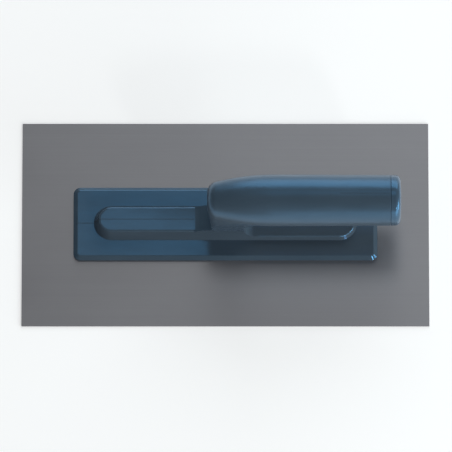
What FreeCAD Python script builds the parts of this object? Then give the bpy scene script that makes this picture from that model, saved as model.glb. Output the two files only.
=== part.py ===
import FreeCAD, Part
import math
import os
import re
import Sketcher

# Steel finishing trowel: a flat spring-steel blade with a moulded plastic handle on its back.
# All lengths in mm. Origin: centre of the blade's working face. +X runs along the blade to the
# open end of the grip, +Z from the working face up through the grip.

doc = FreeCAD.newDocument("finishing_trowel")
sheet = doc.addObject("Spreadsheet::Sheet", "sizes")

SIZES = [
    ("blade_length", 270.0, "blade, long edge"),
    ("blade_width", 140.0, "blade, short edge"),
    ("blade_thick", 0.7, "hardened sheet"),
    ("film_thick", 0.3, "bonding film between blade and base plate"),
    ("film_inset", 2.5, "film edge inside the base plate's edge"),
    ("base_length", 201.5, "base plate"),
    ("base_width", 50.0, "base plate"),
    ("base_thick", 3.4, "base plate"),
    ("base_corner", 4.5, "base plate corner radius"),
    ("base_bevel_run", 1.9, "bevel round the base plate, across"),
    ("base_bevel_drop", 2.5, "bevel round the base plate, down"),
    ("base_edge_round", 1.2, "rounding along the top of the bevel"),
    ("rail_inset", 13.5, "rail's ends inside the base plate's"),
    ("rail_width", 23.6, "rail, at its foot"),
    ("rail_top_width", 16.2, "rail, along its high front part"),
    ("rail_height", 9.5, "high front part above the base plate"),
    ("rail_low", 4.0, "low rear part above the base plate"),
    ("rail_round", 1.3, "rounding along the rail's top edges"),
    ("ramp_start", -20.2, "foot of the ramp that leads up to the neck"),
    ("ramp_rise", 5.0, "height of that ramp"),
    ("neck_front", -8.3, "front of the neck at the top of the ramp"),
    ("neck_back", 12.0, "back of the neck"),
    ("foot_sweep", 7.0, "sweep from the low part of the rail up into the neck"),
    ("waist_round", 14.0, "rounding along the waist, where the neck leaves the rail"),
    ("shoulder_inset", 3.0, "sides of the neck's shoulder inside the grip's"),
    ("shoulder_drop", 9.3, "that shoulder below the grip's axis"),
    ("flare_drop", 25.8, "where the back of the neck starts to lean, below the grip's axis"),
    ("flare_round", 9.0, "radius of that lean"),
    ("grip_axis", 57.8, "height of the grip's axis"),
    ("grip_radius", 17.0, "grip, along its straight part"),
    ("grip_tail_taper", 0.3, "how much thinner the grip is at its open end"),
    ("grip_nose", -12.0, "front of the grip"),
    ("grip_nose_taper", 6.0, "how much thinner the grip is at its nose"),
    ("neck_set_back", 0.5, "front of the neck behind the nose, at the grip's axis"),
    ("neck_inset", 0.25, "neck inside the grip's plan outline"),
    ("grip_nose_round", 7.5, "rounding of the nose"),
    ("grip_taper_end", 15.0, "end of the nose taper"),
    ("grip_taper_round", 150.0, "long rounding at the end of the taper"),
    ("grip_end", 108.7, "open end of the grip, where the cap sits"),
    ("seam_bevel", 0.3, "bevel on both sides of the seam between grip and cap"),
    ("grip_wall", 3.9, "wall of the grip at its open end"),
    ("core_draft", 1.2, "how much narrower the hollow is at its blind end"),
    ("core_start", 26.0, "blind end of the hollow"),
    ("core_round", 5.0, "rounding of the blind end"),
    ("cap_thick", 6.9, "cap, on its axis"),
    ("cap_dome", 0.7, "how far the cap bulges"),
    ("cap_flat", 6.0, "radius of the flat at the middle of the cap"),
    ("cap_round", 3.6, "rounding round the cap"),
    ("cap_gap", 0.12, "clearance of the plug in the hollow"),
    ("plug_length", 9.0, "cap's plug inside the grip"),
    ("plug_wall", 2.0, "wall of the plug"),
    ("bead_height", 0.5, "snap bead round the plug"),
    ("bead_width", 1.6, "snap bead, along the axis"),
    ("bead_place", 5.5, "middle of the bead from the cap's seat"),
    ("stud_count", 8.0, "weld studs in a row"),
    ("stud_inset", 12.0, "first stud from the rail's end"),
    ("stud_radius", 2.0, "stud shank"),
    ("stud_length", 5.0, "stud from the blade's back to its tip"),
    ("stud_flange_radius", 3.2, "weld flange of the stud"),
    ("stud_flange_thick", 0.7, "weld flange of the stud"),
    ("stud_barb", 0.3, "barb standing out of the shank"),
    ("stud_gap", 0.3, "clearance round and above the stud"),
    ("pocket_web", 9.5, "plastic round each stud, between two pockets"),
    ("pocket_wall", 4.8, "plastic beside a pocket, at the rail's foot"),
    ("pocket_roof", 2.6, "plastic left over a pocket"),
]
for row, (alias, value, note) in enumerate(SIZES, start=1):
    sheet.set(f"A{row}", alias)
    sheet.set(f"B{row}", str(value))
    sheet.set(f"C{row}", note)
    sheet.setAlias(f"B{row}", alias)

# Heights that follow from the sizes above.
LEVELS = [
    ("seat_level", "=blade_thick + film_thick", "underside of the base plate"),
    ("base_level", "=seat_level + base_thick", "top of the base plate"),
    ("low_level", "=base_level + rail_low", "top of the low part of the rail"),
    ("high_level", "=base_level + rail_height", "top of the high part of the rail"),
    ("rail_length", "=base_length - 2 * rail_inset", "rail, at its foot"),
    ("rail_lean", "=(rail_width - rail_top_width) / 2 / rail_height", "run of the rail's side per height"),
    ("grip_tail_radius", "=grip_radius - grip_tail_taper", "grip, at its open end"),
    ("grip_nose_radius", "=grip_radius - grip_nose_taper", "where the nose face meets the taper"),
    ("shoulder_half", "=grip_radius - shoulder_inset", "half width of the neck's shoulder"),
    ("shoulder_height", "=grip_axis - shoulder_drop", "height of that shoulder"),
    ("neck_flare", "=grip_axis - flare_drop", "height where the back of the neck leans back"),
    ("core_radius", "=grip_tail_radius - grip_wall", "hollow of the grip, at the open end"),
    ("plug_radius", "=core_radius - cap_gap", "cap's plug"),
    ("socket_end", "=grip_end - plug_length - 1", "inner end of the cap's socket"),
    ("stud_row", "=rail_length - 2 * stud_inset", "first stud to last"),
    ("stud_pitch", "=stud_row / (stud_count - 1)", "stud to stud"),
    ("pocket_length", "=stud_pitch - pocket_web", "coring pocket between two studs"),
    ("pocket_width", "=rail_width - 2 * pocket_wall", "coring pocket, across"),
    ("bore_radius", "=stud_radius + stud_barb + stud_gap", "hole round a stud"),
]
for row, (alias, formula, note) in enumerate(LEVELS, start=len(SIZES) + 2):
    sheet.set(f"A{row}", alias)
    sheet.set(f"B{row}", formula)
    sheet.set(f"C{row}", note)
    sheet.setAlias(f"B{row}", alias)
doc.recompute()

WORDS = sorted([a for a, _, _ in SIZES] + [a for a, _, _ in LEVELS], key=len, reverse=True)
XY, XZ, YZ = 3, 4, 5  # base planes of a body's origin


def bound(text):
    """Point every size name in an expression at the sheet."""
    words = re.split(r"([a-z_]+)", text)
    return "".join("sizes." + w if w in WORDS else w for w in words)


def bind(obj, prop, text):
    obj.setExpression(prop, bound(text))
    return obj


def size(alias):
    return float(sheet.get(alias))


def new_body(name):
    made = doc.addObject("PartDesign::Body", name)
    made.Label = name
    made.AllowCompound = True
    return made


def new_sketch(body, name, plane, offset="0"):
    """A sketch on one of the body's base planes, moved along that plane's normal."""
    made = body.newObject("Sketcher::SketchObject", name)
    made.AttachmentSupport = [(body.Origin.OriginFeatures[plane], "")]
    made.MapMode = "FlatFace"
    bind(made, "AttachmentOffset.Base.z", offset)
    return made


def polygon(body, name, plane, corners, offset="0"):
    """A closed outline through corners, each given as two expressions."""
    made = new_sketch(body, name, plane, offset)
    count = len(corners)
    ring = [FreeCAD.Vector(50 * math.cos(2 * math.pi * i / count),
                           50 * math.sin(2 * math.pi * i / count), 0) for i in range(count)]
    for i in range(count):
        made.addGeometry(Part.LineSegment(ring[i], ring[(i + 1) % count]))
    for i, (across, up) in enumerate(corners):
        made.addConstraint(Sketcher.Constraint("Coincident", i, 1, (i - 1) % count, 2))
        for kind, text, start in (("DistanceX", across, ring[i].x), ("DistanceY", up, ring[i].y)):
            mark = made.addConstraint(Sketcher.Constraint(kind, -1, 1, i, 1, start))
            bind(made, f"Constraints[{mark}]", text)
    doc.recompute()
    return made


def slot(body, name, left, right, radius, offset):
    """A stadium along X: left and right are sheet names or expressions of its arc centres."""
    made = new_sketch(body, name, XY, offset)
    far, half = size("rail_length") / 2 - size("rail_width") / 2, size("rail_top_width") / 2
    point = FreeCAD.Vector
    up = point(0, 0, 1)
    made.addGeometry(Part.ArcOfCircle(Part.Circle(point(-far, 0, 0), up, half), math.pi / 2, 1.5 * math.pi))
    made.addGeometry(Part.ArcOfCircle(Part.Circle(point(far, 0, 0), up, half), -math.pi / 2, math.pi / 2))
    made.addGeometry(Part.LineSegment(point(-far, half, 0), point(far, half, 0)))
    made.addGeometry(Part.LineSegment(point(-far, -half, 0), point(far, -half, 0)))
    for first, second in (((0, 1), (2, 1)), ((0, 2), (3, 1)), ((1, 1), (3, 2)), ((1, 2), (2, 2))):
        made.addConstraint(Sketcher.Constraint("Tangent", *first, *second))
    made.addConstraint(Sketcher.Constraint("Equal", 0, 1))
    for arc, text, start in ((0, left, -far), (1, right, far)):
        made.addConstraint(Sketcher.Constraint("PointOnObject", arc, 3, -1))
        mark = made.addConstraint(Sketcher.Constraint("DistanceX", -1, 1, arc, 3, start))
        bind(made, f"Constraints[{mark}]", text)
    mark = made.addConstraint(Sketcher.Constraint("Radius", 0, half))
    bind(made, f"Constraints[{mark}]", radius)
    doc.recompute()
    return made


def pad(body, sketch, name, length, both_ways=False, lean=None):
    made = body.newObject("PartDesign::Pad", name)
    made.Profile = sketch
    made.Midplane = both_ways
    bind(made, "Length", length)
    if lean:
        bind(made, "TaperAngle", lean)
    doc.recompute()
    return made


def revolve(body, sketch, name, axis="H_Axis"):
    made = body.newObject("PartDesign::Revolution", name)
    made.Profile = sketch
    made.ReferenceAxis = (sketch, [axis])
    made.Angle = 360
    doc.recompute()
    return made


def round_edges(body, base, name, radius, wanted):
    """Round the edges of base that wanted() accepts."""
    made = body.newObject("PartDesign::Fillet", name)
    made.Base = (base, edges_where(base, wanted))
    bind(made, "Radius", radius)
    doc.recompute()
    return made


def edges_where(base, wanted):
    names = [f"Edge{i}" for i, edge in enumerate(base.Shape.Edges, start=1) if wanted(edge)]
    if not names:
        raise ValueError("no edge found on " + base.Name)
    return names


def row_of(body, feature, name, length, count):
    """Repeat a feature along X."""
    made = body.newObject("PartDesign::LinearPattern", name)
    made.Originals = [feature]
    made.Direction = (body.Origin.OriginFeatures[0], [""])
    bind(made, "Length", length)
    bind(made, "Occurrences", count)
    body.Tip = made
    doc.recompute()
    return made


def middle(edge):
    return edge.valueAt((edge.FirstParameter + edge.LastParameter) / 2)


def upright(edge):
    ends = [v.Point for v in edge.Vertexes]
    return len(ends) == 2 and abs(ends[0].x - ends[1].x) < 1e-6 and abs(ends[0].y - ends[1].y) < 1e-6


def on_level(level):
    """Match edges that lie on one of the heights in the sheet."""
    return lambda edge: (abs(edge.BoundBox.ZMin - size(level)) < 1e-4
                         and abs(edge.BoundBox.ZMax - size(level)) < 1e-4)


def at_place(across, up):
    """Match edges along Y by their X and Z in the sheet."""
    return lambda edge: (abs(middle(edge).x - size(across)) < 1e-6
                         and abs(middle(edge).z - size(up)) < 1e-6)


def circle_of(radius, place=None):
    """Match full circles of one radius, at one place along X if given."""
    def wanted(edge):
        curve = edge.Curve
        round_one = curve.TypeId == "Part::GeomCircle" and abs(curve.Radius - radius) < 0.01
        return round_one and (place is None or abs(curve.Center.x - place) < 0.01)
    return wanted


def boolean(kind, name, parts):
    made = doc.addObject(kind, name)
    made.Label = name
    if kind == "Part::Cut":
        made.Base, made.Tool = parts
    else:
        made.Shapes = parts
    if hasattr(made, "Refine"):
        made.Refine = True
    doc.recompute()
    return made


# Blade: a plain rectangular sheet with sharp square corners.
blade = doc.addObject("Part::Box", "blade")
blade.Label = "blade"
for prop, text in (("Length", "blade_length"), ("Width", "blade_width"), ("Height", "blade_thick"),
                   ("Placement.Base.x", "-blade_length / 2"), ("Placement.Base.y", "-blade_width / 2")):
    bind(blade, prop, text)

# Weld studs: a row of barbed studs welded to the blade's back, each with a weld flange.
weld_studs = new_body("weld_studs")
stud_outline = polygon(weld_studs, "stud_outline", XZ, [
    ("0", "blade_thick"),
    ("stud_flange_radius", "blade_thick"),
    ("stud_flange_radius", "blade_thick + stud_flange_thick"),
    ("stud_radius", "blade_thick + stud_flange_thick"),
    ("stud_radius", "blade_thick + stud_length * 0.4"),
    ("stud_radius + stud_barb", "blade_thick + stud_length * 0.4"),
    ("stud_radius", "blade_thick + stud_length * 0.7"),
    ("stud_radius + stud_barb", "blade_thick + stud_length * 0.7"),
    ("stud_radius * 0.7", "blade_thick + stud_length"),
    ("0", "blade_thick + stud_length"),
])
stud = revolve(weld_studs, stud_outline, "stud", "V_Axis")
row_of(weld_studs, stud, "stud_row", "stud_row", "stud_count")
bind(weld_studs, "Placement.Base.x", "-stud_row / 2")

# Bonding film: a thin sheet between the blade and the base plate, holed for the weld flanges.
bond_film = new_body("bond_film")
film_outline = polygon(bond_film, "film_outline", XY, [
    ("-base_length / 2 + film_inset", "-base_width / 2 + film_inset"),
    ("base_length / 2 - film_inset", "-base_width / 2 + film_inset"),
    ("base_length / 2 - film_inset", "base_width / 2 - film_inset"),
    ("-base_length / 2 + film_inset", "base_width / 2 - film_inset"),
], "blade_thick")
film_sheet = pad(bond_film, film_outline, "film_sheet", "film_thick")
film_round = round_edges(bond_film, film_sheet, "film_round", "base_corner - film_inset / 2", upright)
hole_outline = new_sketch(bond_film, "flange_hole_outline", XY, "seat_level")
hole_outline.addGeometry(Part.Circle(
    FreeCAD.Vector(-size("stud_row") / 2, 0, 0), FreeCAD.Vector(0, 0, 1), size("stud_flange_radius")))
hole_outline.addConstraint(Sketcher.Constraint("PointOnObject", 0, 3, -1))
mark = hole_outline.addConstraint(Sketcher.Constraint("DistanceX", -1, 1, 0, 3, -size("stud_row") / 2))
bind(hole_outline, f"Constraints[{mark}]", "-stud_row / 2")
mark = hole_outline.addConstraint(Sketcher.Constraint("Radius", 0, size("stud_flange_radius")))
bind(hole_outline, f"Constraints[{mark}]", "stud_flange_radius + stud_gap")
flange_hole = bond_film.newObject("PartDesign::Pocket", "flange_hole")
flange_hole.Profile = hole_outline
bind(flange_hole, "Length", "film_thick")
doc.recompute()
row_of(bond_film, flange_hole, "flange_hole_row", "stud_row", "stud_count")

# Base plate of the handle: a rounded rectangle with a bevelled, softened upper edge.
base_plate = new_body("base_plate")
base_outline = polygon(base_plate, "base_outline", XY, [
    ("-base_length / 2", "-base_width / 2"),
    ("base_length / 2", "-base_width / 2"),
    ("base_length / 2", "base_width / 2"),
    ("-base_length / 2", "base_width / 2"),
], "seat_level")
base_block = pad(base_plate, base_outline, "base_block", "base_thick")
base_corners = round_edges(base_plate, base_block, "base_corners", "base_corner", upright)
base_bevel = base_plate.newObject("PartDesign::Chamfer", "base_bevel")
base_bevel.Base = (base_corners, [
    f"Face{i}" for i, face in enumerate(base_corners.Shape.Faces, start=1)
    if abs(face.CenterOfMass.z - size("base_level")) < 1e-6])
base_bevel.ChamferType = "Two distances"
bind(base_bevel, "Size", "base_bevel_run")
bind(base_bevel, "Size2", "base_bevel_drop")
doc.recompute()
round_edges(base_plate, base_bevel, "base_soft", "base_edge_round",
            on_level("base_level"))

# Rail: a stadium-shaped ridge with leaning sides, high in front of the neck and low behind it.
rail_high = new_body("rail_high")
high_foot = slot(rail_high, "high_foot", "-rail_length / 2 + rail_width / 2",
                 "0", "rail_width / 2", "base_level")
high_block = pad(rail_high, high_foot, "high_block", "rail_height", lean="-atan(rail_lean)")
round_edges(rail_high, high_block, "high_soft", "rail_round", on_level("high_level"))

rail_low_part = new_body("rail_low_part")
low_foot = slot(rail_low_part, "low_foot", "0", "rail_length / 2 - rail_width / 2",
                "rail_width / 2", "base_level")
low_form = pad(rail_low_part, low_foot, "low_form", "rail_low", lean="-atan(rail_lean)")
round_edges(rail_low_part, low_form, "low_soft", "rail_round", on_level("low_level"))

# The high part stops inside the neck.
low_cut = new_body("low_cut")
low_outline = polygon(low_cut, "low_outline", XZ, [
    ("0", "seat_level"),
    ("rail_length", "seat_level"),
    ("rail_length", "high_level + rail_height"),
    ("0", "high_level + rail_height"),
])
pad(low_cut, low_outline, "low_block", "rail_width * 2", True)
rail_cut = boolean("Part::Cut", "rail_cut", (rail_high, low_cut))

# Grip: turned about its own axis, with a blunt nose, a short taper and a plain open end.
grip = new_body("grip")
grip_outline = polygon(grip, "grip_outline", XZ, [
    ("grip_nose", "0"),
    ("grip_end", "0"),
    ("grip_end", "grip_tail_radius - seam_bevel"),
    ("grip_end - seam_bevel", "grip_tail_radius"),
    ("grip_taper_end + (grip_end - grip_taper_end) * 0.4", "grip_radius"),
    ("grip_taper_end", "grip_radius"),
    ("grip_nose", "grip_nose_radius"),
])
grip_form = revolve(grip, grip_outline, "grip_form")
grip_long = round_edges(grip, grip_form, "grip_long", "grip_taper_round",
                        circle_of(size("grip_radius"), size("grip_taper_end")))
round_edges(grip, grip_long, "grip_nose_soft", "grip_nose_round",
            circle_of(size("grip_nose_radius")))
bind(grip, "Placement.Base.z", "grip_axis")

# Neck: what a side view, an end view and the grip's own plan outline have in common.
neck_side = new_body("neck_side")
foot_end = "neck_back + foot_sweep + rail_round * 2"
side_outline = polygon(neck_side, "side_outline", XZ, [
    ("neck_front", "base_level"),
    (foot_end, "base_level"),
    (foot_end, "low_level"),
    ("neck_back", "low_level"),
    ("neck_back", "neck_flare"),
    ("neck_back + (grip_axis - neck_flare) * 0.75", "grip_axis"),
    ("grip_nose + neck_set_back", "grip_axis"),
    ("neck_front", "high_level + ramp_rise"),
])
side_block = pad(neck_side, side_outline, "side_block", "grip_radius * 3", True)
side_flare = round_edges(neck_side, side_block, "side_flare", "flare_round", at_place("neck_back", "neck_flare"))
round_edges(neck_side, side_flare, "side_sweep", "foot_sweep", at_place("neck_back", "low_level"))

ramp_side = new_body("ramp_side")
ramp_outline = polygon(ramp_side, "ramp_outline", XZ, [
    ("ramp_start", "base_level"),
    ("0", "base_level"),
    ("0", "high_level + ramp_rise"),
    ("neck_front", "high_level + ramp_rise"),
    ("ramp_start", "high_level"),
])
pad(ramp_side, ramp_outline, "ramp_block", "grip_radius * 3", True)

neck_end = new_body("neck_end")
half = ["rail_width / 2", "rail_top_width / 2", "shoulder_half", "grip_radius * 0.93"]
rise = ["base_level", "high_level", "shoulder_height", "grip_axis"]
end_outline = polygon(neck_end, "end_outline", YZ, [
    *zip(half, rise),
    *((f"-{w}", z) for w, z in reversed(list(zip(half, rise)))),
])
end_block = pad(neck_end, end_outline, "end_block", "rail_length", True)
round_edges(neck_end, end_block, "end_sweep", "waist_round", on_level("high_level"))

neck_plan = new_body("neck_plan")
plan_outline = polygon(neck_plan, "plan_outline", XY, [
    ("grip_nose + neck_inset", "-grip_nose_radius + neck_inset"),
    ("grip_taper_end", "-grip_radius + neck_inset"),
    ("grip_end", "-grip_radius + neck_inset"),
    ("grip_end", "grip_radius - neck_inset"),
    ("grip_taper_end", "grip_radius - neck_inset"),
    ("grip_nose + neck_inset", "grip_nose_radius - neck_inset"),
])
plan_block = pad(neck_plan, plan_outline, "plan_block", "grip_axis")
plan_long = round_edges(neck_plan, plan_block, "plan_long", "grip_taper_round", lambda edge: (
    upright(edge) and abs(middle(edge).x - size("grip_taper_end")) < 1e-6))
round_edges(neck_plan, plan_long, "plan_nose", "grip_nose_round", lambda edge: (
    upright(edge) and abs(middle(edge).x - size("grip_nose") - size("neck_inset")) < 1e-6))
neck = boolean("Part::MultiCommon", "neck", [neck_side, neck_end, neck_plan])
ramp = boolean("Part::MultiCommon", "ramp", [ramp_side, neck_end])

outer = boolean("Part::MultiFuse", "outer", [base_plate, rail_cut, rail_low_part, ramp, neck, grip])

# Hollow of the grip: drafted, blind at the neck, with a straight socket and a groove for the cap.
hollow = new_body("hollow")
hollow_outline = polygon(hollow, "hollow_outline", XZ, [
    ("core_start", "0"),
    ("grip_end + cap_thick", "0"),
    ("grip_end + cap_thick", "core_radius"),
    ("grip_end - bead_place + bead_width / 2 + cap_gap", "core_radius"),
    ("grip_end - bead_place + bead_width / 2 + cap_gap", "core_radius + bead_height"),
    ("grip_end - bead_place - bead_width / 2 - cap_gap", "core_radius + bead_height"),
    ("grip_end - bead_place - bead_width / 2 - cap_gap", "core_radius"),
    ("socket_end", "core_radius"),
    ("core_start", "core_radius - core_draft"),
])
hollow_form = revolve(hollow, hollow_outline, "hollow_form")
round_edges(hollow, hollow_form, "hollow_soft", "core_round",
            circle_of(size("core_radius") - size("core_draft"), size("core_start")))
bind(hollow, "Placement.Base.z", "grip_axis")

# Bores for the studs, open at the base plate's underside and wider there for the weld flanges.
bores = new_body("bores")
bore_outline = polygon(bores, "bore_outline", XZ, [
    ("0", "0"),
    ("stud_flange_radius + stud_gap", "0"),
    ("stud_flange_radius + stud_gap", "blade_thick + stud_flange_thick + stud_gap"),
    ("bore_radius", "blade_thick + stud_flange_thick + stud_gap"),
    ("bore_radius", "blade_thick + stud_length + stud_gap"),
    ("0", "blade_thick + stud_length + stud_gap"),
])
bore = revolve(bores, bore_outline, "bore", "V_Axis")
row_of(bores, bore, "bore_row", "stud_row", "stud_count")
bind(bores, "Placement.Base.x", "-stud_row / 2")

# Coring pockets between the bores, so that the rail has even walls with a rib at each side.
pockets = new_body("pockets")
pocket_outline = polygon(pockets, "pocket_outline", XY, [
    ("-pocket_length / 2", "-pocket_width / 2"),
    ("pocket_length / 2", "-pocket_width / 2"),
    ("pocket_length / 2", "pocket_width / 2"),
    ("-pocket_length / 2", "pocket_width / 2"),
])
pocket_block = pad(pockets, pocket_outline, "pocket_block", "low_level - pocket_roof")
row_of(pockets, pocket_block, "pocket_line", "stud_row - stud_pitch", "stud_count - 1")
bind(pockets, "Placement.Base.x", "-stud_row / 2 + stud_pitch / 2")

# Handle: one moulding of base plate, rail, neck and grip.
inner_cuts = boolean("Part::MultiFuse", "inner_cuts", [hollow, bores, pockets])
handle_body = boolean("Part::Cut", "handle_body", (outer, inner_cuts))

# End cap: a shallow dome over the open end, on a hollow plug with a snap bead.
end_cap = new_body("end_cap")
cap_outline = polygon(end_cap, "cap_outline", XZ, [
    ("grip_end + cap_thick", "0"),
    ("grip_end + cap_thick", "cap_flat"),
    ("grip_end + cap_thick - cap_dome", "grip_tail_radius - 0.2 * cap_dome"),
    ("grip_end + seam_bevel", "grip_tail_radius"),
    ("grip_end", "grip_tail_radius - seam_bevel"),
    ("grip_end", "plug_radius"),
    ("grip_end - bead_place + bead_width / 2", "plug_radius"),
    ("grip_end - bead_place", "plug_radius + bead_height"),
    ("grip_end - bead_place - bead_width / 2", "plug_radius"),
    ("grip_end - plug_length", "plug_radius"),
    ("grip_end - plug_length", "plug_radius - plug_wall"),
    ("grip_end + cap_thick / 3", "plug_radius - plug_wall"),
    ("grip_end + cap_thick / 3", "0"),
])
cap_form = revolve(end_cap, cap_outline, "cap_form")
round_edges(end_cap, cap_form, "cap_soft", "cap_round",
            circle_of(size("grip_tail_radius") - 0.2 * size("cap_dome")))
bind(end_cap, "Placement.Base.z", "grip_axis")

doc.recompute()
PARTS = [blade, weld_studs, bond_film, handle_body, end_cap]
for thing in doc.Objects:
    if "Invalid" in thing.State or "Error" in thing.State:
        raise RuntimeError(thing.Name + " did not build")
os.makedirs("parts", exist_ok=True)
for thing in PARTS:
    shape = thing.Shape
    if shape.isNull() or not shape.isValid():
        raise RuntimeError(thing.Name + " has a bad shape")
    shape.exportStep("parts/" + thing.Label + ".step")
    print(thing.Label, len(shape.Solids), "solid(s)", round(shape.Volume), "mm3")
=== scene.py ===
import math

import bmesh
import bpy
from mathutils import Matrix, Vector
from mathutils.bvhtree import BVHTree


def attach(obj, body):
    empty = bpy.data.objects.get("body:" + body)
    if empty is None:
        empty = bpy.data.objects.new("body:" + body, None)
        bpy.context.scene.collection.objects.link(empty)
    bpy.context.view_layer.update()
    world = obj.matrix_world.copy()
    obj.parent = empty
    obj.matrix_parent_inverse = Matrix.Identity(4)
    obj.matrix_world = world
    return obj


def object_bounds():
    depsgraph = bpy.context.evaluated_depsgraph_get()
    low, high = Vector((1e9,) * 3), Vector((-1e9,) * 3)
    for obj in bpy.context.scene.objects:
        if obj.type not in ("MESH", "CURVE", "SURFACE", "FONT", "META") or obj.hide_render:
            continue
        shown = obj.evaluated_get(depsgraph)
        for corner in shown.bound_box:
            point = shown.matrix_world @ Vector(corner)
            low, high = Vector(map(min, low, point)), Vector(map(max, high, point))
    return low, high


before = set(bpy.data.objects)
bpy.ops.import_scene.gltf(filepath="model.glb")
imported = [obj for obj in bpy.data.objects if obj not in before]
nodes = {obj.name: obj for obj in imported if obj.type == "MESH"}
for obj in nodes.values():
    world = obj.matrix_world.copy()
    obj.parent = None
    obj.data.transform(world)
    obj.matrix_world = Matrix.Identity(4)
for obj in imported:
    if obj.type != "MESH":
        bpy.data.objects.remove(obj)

# Steel finishing trowel: materials, mould lines, floor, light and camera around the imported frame.
# Everything is in metres, in the frame's own axes.

CAD_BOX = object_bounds()
scene = bpy.context.scene


# ---------------------------------------------------------------- shader helpers

def material(name):
    made = bpy.data.materials.new(name)
    made.use_nodes = True
    tree = made.node_tree
    tree.nodes.clear()
    out = tree.nodes.new("ShaderNodeOutputMaterial")
    shader = tree.nodes.new("ShaderNodeBsdfPrincipled")
    tree.links.new(shader.outputs["BSDF"], out.inputs["Surface"])
    return made, tree, shader


def coords(tree, scale=(1, 1, 1), turn=(0, 0, 0)):
    """Object coordinates, scaled, so that a pattern stays on the piece from every side."""
    source = tree.nodes.new("ShaderNodeTexCoord")
    mapping = tree.nodes.new("ShaderNodeMapping")
    mapping.inputs["Scale"].default_value = scale
    mapping.inputs["Rotation"].default_value = turn
    tree.links.new(source.outputs["Object"], mapping.inputs["Vector"])
    return mapping.outputs["Vector"]


def noise(tree, vector, scale, detail=3.0, rough=0.55):
    made = tree.nodes.new("ShaderNodeTexNoise")
    made.inputs["Scale"].default_value = scale
    made.inputs["Detail"].default_value = detail
    made.inputs["Roughness"].default_value = rough
    tree.links.new(vector, made.inputs["Vector"])
    return made.outputs["Fac"]


def spread(tree, value, low, high, out_low, out_high):
    """Map a value's range to another range."""
    made = tree.nodes.new("ShaderNodeMapRange")
    for socket, number in zip(("From Min", "From Max", "To Min", "To Max"),
                              (low, high, out_low, out_high)):
        made.inputs[socket].default_value = number
    tree.links.new(value, made.inputs["Value"])
    return made.outputs["Result"]


def combine(tree, kind, first, second):
    """A maths node of two values, each a number or a socket."""
    made = tree.nodes.new("ShaderNodeMath")
    made.operation = kind
    for socket, value in zip(made.inputs, (first, second)):
        if isinstance(value, (int, float)):
            socket.default_value = value
        else:
            tree.links.new(value, socket)
    return made.outputs["Value"]


def blend_colours(tree, fac, first, second):
    """Mix two colours, each a tuple or a socket."""
    made = tree.nodes.new("ShaderNodeMix")
    made.data_type = "RGBA"
    tree.links.new(fac, made.inputs["Factor"])
    for socket, value in zip((made.inputs["A"], made.inputs["B"]), (first, second)):
        if isinstance(value, tuple):
            socket.default_value = (*value, 1.0)
        else:
            tree.links.new(value, socket)
    return made.outputs["Result"]


def bump(tree, shader, height, strength, distance):
    made = tree.nodes.new("ShaderNodeBump")
    made.inputs["Strength"].default_value = strength
    made.inputs["Distance"].default_value = distance
    tree.links.new(height, made.inputs["Height"])
    tree.links.new(made.outputs["Normal"], shader.inputs["Normal"])


def dress(piece, finish):
    piece.data.materials.clear()
    piece.data.materials.append(finish)


# ---------------------------------------------------------------- materials

BRUSH_ANISOTROPY = 0.6
FINE_SCRATCHES = (7, 2600, 2600)      # noise scales per axis: long along X, close across it
BROAD_SCRATCHES = (2, 260, 260)
CLOUDS = (9, 14, 14)


def brushed_steel(name, shade, rough):
    """Sheet steel with fine and broad scratches along X and faint clouds."""
    made, tree, shader = material(name)
    shader.inputs["Metallic"].default_value = 1.0
    shader.inputs["Anisotropic"].default_value = BRUSH_ANISOTROPY
    tangent = tree.nodes.new("ShaderNodeTangent")
    tangent.direction_type = "RADIAL"
    tangent.axis = "X"
    tree.links.new(tangent.outputs["Tangent"], shader.inputs["Tangent"])
    fine = noise(tree, coords(tree, FINE_SCRATCHES), 1.0, 2.0)
    broad = noise(tree, coords(tree, BROAD_SCRATCHES), 1.0, 3.0)
    clouds = noise(tree, coords(tree, CLOUDS), 1.0, 4.0)
    grain = combine(tree, "ADD", combine(tree, "MULTIPLY", fine, 0.7),
                    combine(tree, "MULTIPLY", broad, 0.3))
    tone = combine(tree, "ADD", combine(tree, "MULTIPLY", grain, 0.4),
                   combine(tree, "MULTIPLY", clouds, 0.6))
    dark = tuple(0.93 * c for c in shade)
    light = tuple(min(1.0, 1.07 * c) for c in shade)
    colour = blend_colours(tree, spread(tree, tone, 0.3, 0.7, 0.0, 1.0), dark, light)
    tree.links.new(colour, shader.inputs["Base Color"])
    tree.links.new(spread(tree, tone, 0.3, 0.7, rough - 0.03, rough + 0.04),
                   shader.inputs["Roughness"])
    bump(tree, shader, grain, 0.1, 0.00002)
    return made


GLOSS_TINT = (0.17, 0.55, 1.0)
RIM_TINT = (0.2, 0.5, 1.0)
PLASTIC_IOR = 1.88
SATIN_FROM = 0.034                    # height where the satin of the grip starts
SATIN_RUN = 0.012                     # height over which it reaches its full strength
FLOW_MARKS = (16, 60, 60)
RUB_MARKS = (60, 170, 170)
RUB_TURN = (0.2, 0.1, 0.4)


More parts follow.
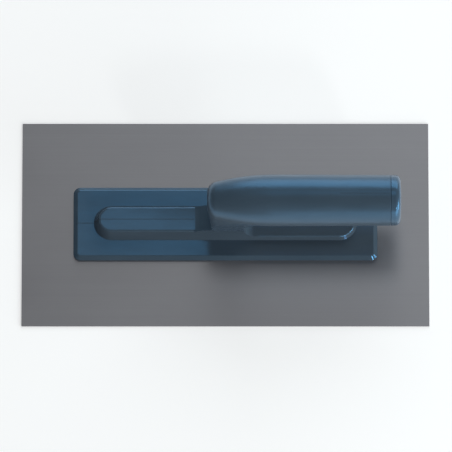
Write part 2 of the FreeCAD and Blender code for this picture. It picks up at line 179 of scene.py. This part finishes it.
def moulded_plastic(name, shade, gloss, satin):
    """Injection-moulded plastic with a fine grain: glossy low down, duller on the grip."""
    made, tree, shader = material(name)
    place = tree.nodes.new("ShaderNodeTexCoord")
    parts = tree.nodes.new("ShaderNodeSeparateXYZ")
    tree.links.new(place.outputs["Object"], parts.inputs["Vector"])
    on_grip = spread(tree, parts.outputs["Z"], SATIN_FROM, SATIN_FROM + SATIN_RUN, 0.0, 1.0)
    flow = noise(tree, coords(tree, FLOW_MARKS), 1.0, 3.0)
    grain = noise(tree, coords(tree), 2200.0, 2.0)
    rubs = noise(tree, coords(tree, RUB_MARKS, RUB_TURN), 1.0, 5.0, 0.65)
    dark = tuple(0.9 * c for c in shade)
    light = tuple(1.1 * c for c in shade)
    colour = blend_colours(tree, spread(tree, flow, 0.3, 0.7, 0.0, 1.0), dark, light)
    tree.links.new(colour, shader.inputs["Base Color"])
    base_rough = spread(tree, rubs, 0.35, 0.75, gloss, gloss + 0.06)
    duller = combine(tree, "MULTIPLY", on_grip, satin - gloss)
    tree.links.new(combine(tree, "ADD", base_rough, duller), shader.inputs["Roughness"])
    shader.inputs["IOR"].default_value = PLASTIC_IOR
    shader.inputs["Specular Tint"].default_value = (*GLOSS_TINT, 1.0)
    shader.inputs["Sheen Weight"].default_value = 0.04
    shader.inputs["Sheen Roughness"].default_value = 0.3
    shader.inputs["Sheen Tint"].default_value = (*RIM_TINT, 1.0)
    bump(tree, shader, grain, 0.2, 0.00003)
    return made


def film_finish(name, shade):
    """Matte, slightly mottled dark film; on the mould lines this dark finish is painted shade."""
    made, tree, shader = material(name)
    mottle = noise(tree, coords(tree), 900.0, 3.0)
    tree.links.new(blend_colours(tree, mottle, tuple(0.7 * c for c in shade), shade),
                   shader.inputs["Base Color"])
    tree.links.new(spread(tree, mottle, 0.3, 0.7, 0.6, 0.8), shader.inputs["Roughness"])
    bump(tree, shader, mottle, 0.2, 0.00005)
    return made


BLADE_SHADE = (0.362, 0.352, 0.366)
PLASTIC_SHADE = (0.06, 0.08, 0.1)
CAP_SHADE = (0.058, 0.085, 0.115)
STUD_SHADE = (0.5, 0.5, 0.5)
FILM_SHADE = (0.03, 0.03, 0.03)
# The mould lines' colour is painted shade: a dark tone standing in for the shadow along the thin
# ridge.
LINE_PAINTED_SHADE = (0.02, 0.026, 0.032)
dress(nodes["blade"], brushed_steel("blade_steel", BLADE_SHADE, 0.32))
dress(nodes["weld_studs"], brushed_steel("stud_steel", STUD_SHADE, 0.4))
dress(nodes["bond_film"], film_finish("film", FILM_SHADE))
dress(nodes["handle_body"], moulded_plastic("handle_plastic", PLASTIC_SHADE, 0.12, 0.3))
dress(nodes["end_cap"], moulded_plastic("cap_plastic", CAP_SHADE, 0.14, 0.22))


# ---------------------------------------------------------------- smooth shading

# Rounded surfaces shade smoothly and flat ones stay flat, up to a crease of this angle.
CREASE = math.radians(34)
WELD_REACH = 0.000001
NORMAL_WEIGHT = 50
smoother = bpy.data.node_groups.new("shade_smooth", "GeometryNodeTree")
smoother.interface.new_socket("Geometry", in_out="INPUT", socket_type="NodeSocketGeometry")
smoother.interface.new_socket("Geometry", in_out="OUTPUT", socket_type="NodeSocketGeometry")
smooth_in = smoother.nodes.new("NodeGroupInput")
smooth_out = smoother.nodes.new("NodeGroupOutput")
smooth_set = smoother.nodes.new("GeometryNodeSetShadeSmooth")
smoother.links.new(smooth_in.outputs[0], smooth_set.inputs["Geometry"])
smoother.links.new(smooth_set.outputs["Geometry"], smooth_out.inputs[0])
for part in nodes.values():
    weld = part.modifiers.new("weld", "WELD")
    weld.merge_threshold = WELD_REACH
    part.modifiers.new("smooth", "NODES").node_group = smoother
    split = part.modifiers.new("crease", "EDGE_SPLIT")
    split.split_angle = CREASE
    split.use_edge_sharp = False
    soft = part.modifiers.new("soft", "WEIGHTED_NORMAL")
    soft.mode = "FACE_AREA"
    soft.weight = NORMAL_WEIGHT
    soft.keep_sharp = False


# ---------------------------------------------------------------- mould lines

RAY_TOP = 0.2                         # height well above the grip
CREST = 0.3                           # half width of the ridge's flat top, as a share of the foot's
END_SINK = 0.5                        # how far the top sinks at either end, in heights
# Dark matte finish for the mould lines: painted shade along the ridge, not dirt.
line_painted_shade = film_finish("mould_line_painted_shade", LINE_PAINTED_SHADE)


def mould_line(name, first, last, step, wide, proud):
    """A closed, hair-thin ridge along the handle's middle, following the surface below it, darkened
    with painted shade.
    """
    shell = nodes["handle_body"]
    tree = BVHTree.FromObject(shell, bpy.context.evaluated_depsgraph_get())
    into = shell.matrix_world.inverted()
    made = bmesh.new()
    rows = []
    count = round((last - first) / step)
    for i in range(count + 1):
        across = first + (last - first) * i / count
        start = into @ Vector((across, 0.0, RAY_TOP))
        hit, normal, _, _ = tree.ray_cast(start, Vector((0, 0, -1)))
        if hit is None:
            continue
        hit = shell.matrix_world @ hit
        rise = proud if 0 < i < count else -END_SINK * proud
        lean = Vector((normal.x, 0, normal.z)).normalized()
        rows.append([
            made.verts.new(hit + Vector((0, side * wide / 2, 0)) + lean * lift)
            for side, lift in ((-1, -proud), (-CREST, rise), (CREST, rise), (1, -proud))])
    for one, two in zip(rows, rows[1:]):
        for a in range(4):
            b = (a + 1) % 4
            made.faces.new((one[a], two[a], two[b], one[b]))
    made.faces.new(rows[0])
    made.faces.new(rows[-1][::-1])
    mesh = bpy.data.meshes.new(name)
    made.to_mesh(mesh)
    made.free()
    # The ridge gets the dark painted-shade finish.
    mesh.materials.append(line_painted_shade)
    piece = bpy.data.objects.new(name, mesh)
    scene.collection.objects.link(piece)
    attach(piece, "root")


mould_line("mould_line_rail", -0.099, -0.0205, 0.0004, 0.00046, 0.00006)
mould_line("mould_line_grip", 0.075, 0.1082, 0.0006, 0.0003, 0.00004)


# ---------------------------------------------------------------- floor, light and camera

FLOOR_HALF = 12.0
FLOOR_GAP = 0.0002                    # between the floor and the blade's working face
FLOOR_COLOUR = (0.86, 0.855, 0.85, 1)
WHITE = (1.0, 0.995, 0.99, 1)
FLOOR_GLOW = 0.44
WORLD_GLOW = 0.22
floor_mesh = bpy.data.meshes.new("floor")
build = bmesh.new()
bmesh.ops.create_grid(build, x_segments=1, y_segments=1, size=FLOOR_HALF)
build.to_mesh(floor_mesh)
build.free()
floor = bpy.data.objects.new("floor", floor_mesh)
scene.collection.objects.link(floor)
floor.location.z = CAD_BOX[0].z - FLOOR_GAP
floor_mat, floor_tree, floor_shader = material("floor_white")
floor_shader.inputs["Base Color"].default_value = FLOOR_COLOUR
floor_shader.inputs["Roughness"].default_value = 0.9
floor_shader.inputs["Specular IOR Level"].default_value = 0.1
floor_shader.inputs["Emission Color"].default_value = WHITE
floor_shader.inputs["Emission Strength"].default_value = FLOOR_GLOW
dress(floor, floor_mat)


def soft_light(name, place, aim, wide, high, radiance, colour):
    """A rectangular panel that looks equally bright whatever its size."""
    data = bpy.data.lights.new(name, "AREA")
    data.shape = "RECTANGLE"
    data.size, data.size_y = wide, high
    data.energy = radiance * math.pi * wide * high
    data.color = colour
    made = bpy.data.objects.new(name, data)
    scene.collection.objects.link(made)
    made.location = place
    made.rotation_mode = "QUATERNION"
    made.rotation_quaternion = (Vector(aim) - Vector(place)).to_track_quat("-Z", "Y")
    made.visible_camera = False
    return made


BLADE_MIDDLE = (0, 0, 0)
HANDLE_MIDDLE = (0, 0, 0.03)
soft_light("back_panel", (0.5, 1.9, 0.9), BLADE_MIDDLE, 2.2, 1.6, 2.5, (0.85, 0.95, 1.0))
soft_light("front_panel", (1.0, -1.7, 0.42), HANDLE_MIDDLE, 1.6, 0.8, 3.8, (0.95, 0.98, 1.0))
soft_light("end_panel", (1.9, -0.8, 0.5), HANDLE_MIDDLE, 0.9, 0.8, 8.0, (0.8, 0.95, 1.0))
soft_light("top_panel", (0.3, 0.72, 2.4), BLADE_MIDDLE, 0.95, 0.6, 0.9, (0.85, 0.94, 1.0))
soft_light("key", (0.75, -1.2, 0.85), HANDLE_MIDDLE, 0.14, 0.14, 40, (0.95, 1.0, 1.0))

world = bpy.data.worlds.new("studio")
world.use_nodes = True
scene.world = world
backdrop = world.node_tree.nodes["Background"]
backdrop.inputs["Color"].default_value = WHITE
backdrop.inputs["Strength"].default_value = WORLD_GLOW

scene.view_settings.view_transform = "Standard"
scene.view_settings.look = "None"

# Camera: far off with a long lens, tilted a little off the blade's normal towards -Y.
ELEVATION = math.radians(73.7)
DISTANCE = 6.0
VIEW_WIDTH = 0.3000
SENSOR = 36.0
AIM = Vector((0.0004, -0.0007, 0.0))
cam_data = bpy.data.cameras.new("camera")
cam_data.sensor_width = SENSOR
cam_data.lens = cam_data.sensor_width * DISTANCE / VIEW_WIDTH
cam_data.clip_start, cam_data.clip_end = 0.1, 30.0
camera = bpy.data.objects.new("camera", cam_data)
scene.collection.objects.link(camera)
away = Vector((0, -math.cos(ELEVATION), math.sin(ELEVATION)))
camera.location = AIM + away * DISTANCE
camera.rotation_mode = "QUATERNION"
camera.rotation_quaternion = (-away).to_track_quat("-Z", "Y")
scene.camera = camera
